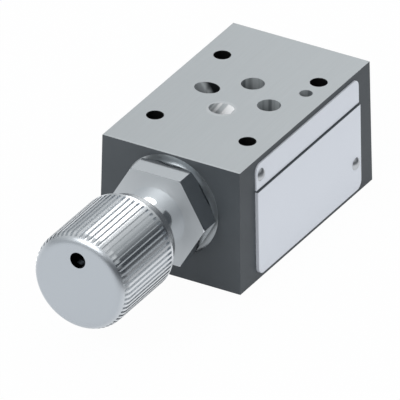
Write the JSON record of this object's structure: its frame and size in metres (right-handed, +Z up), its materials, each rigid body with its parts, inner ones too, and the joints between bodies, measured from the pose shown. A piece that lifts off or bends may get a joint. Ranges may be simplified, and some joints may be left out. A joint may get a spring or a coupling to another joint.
{
  "type": "hydraulic sandwich valve",
  "caption": "Ported steel-grey valve block for stacking under a directional valve, with a hexagon sleeve and a knurled rotary knob that sets the pressure.",
  "frame": {"origin": "on the bottom mounting face, in the middle of the four-bolt pattern", "axes": "+Z up through the stack, -Y towards the knob, +X towards the nameplate side"},
  "size_m": [0.0492, 0.1305, 0.04],
  "materials": {
    "cast_body": "phosphated grey cast iron, ground top and bottom faces",
    "seal_rubber": "black nitrile rubber",
    "plate_aluminium": "matt anodised sheet, bare",
    "rivet_steel": "bright zinc-plated steel",
    "sleeve_steel": "bright turned and plated steel",
    "hardened_steel": "ground hardened steel",
    "nozzle_brass": "turned brass",
    "spring_steel": "oiled spring steel",
    "backup_plastic": "white fluoroplastic",
    "knob_steel": "bright turned and knurled steel",
    "black_steel": "black oxide steel"
  },
  "bodies": {
    "valve_body": {"body": "cast_body", "port_seals": "seal_rubber", "nameplate": "plate_aluminium", "nameplate_rivets": "rivet_steel", "hex_sleeve": "sleeve_steel", "sleeve_o_ring": "seal_rubber", "sensing_pin": "hardened_steel"},
    "spool": {"spool": "hardened_steel", "damping_nozzle": "nozzle_brass", "spring_seat": "hardened_steel"},
    "piston": {"adjusting_piston": "hardened_steel", "piston_o_ring": "seal_rubber", "piston_backup_ring": "backup_plastic", "thrust_ball": "hardened_steel", "main_spring": "spring_steel"},
    "knob": {"spindle": "hardened_steel", "stop_ring": "spring_steel", "knob": "knob_steel", "lock_screw": "black_steel", "friction_ring": "seal_rubber"}
  },
  "joints": [
    {"name": "piston_feed", "type": "slide", "parent": "valve_body", "child": "piston", "axis": [0, 1, 0], "range_m": [0, 0.0075], "deforming": ["main_spring"]},
    {"name": "knob_turn", "type": "hinge", "parent": "piston", "child": "knob", "pos_m": [0, -0.07, 0.0234], "axis": [0, 1, 0], "range_deg": [0, 1800]},
    {"name": "spool_slide", "type": "slide", "parent": "valve_body", "child": "spool", "axis": [0, -1, 0], "range_m": [0, 0.0042], "stiffness_N_per_m": 6000, "springref_m": -0.001, "deforming": ["main_spring"]}
  ],
  "couplings": [
    {"joint": "knob_turn", "follows": "piston_feed", "rad_per_m": 4188.8}
  ]
}
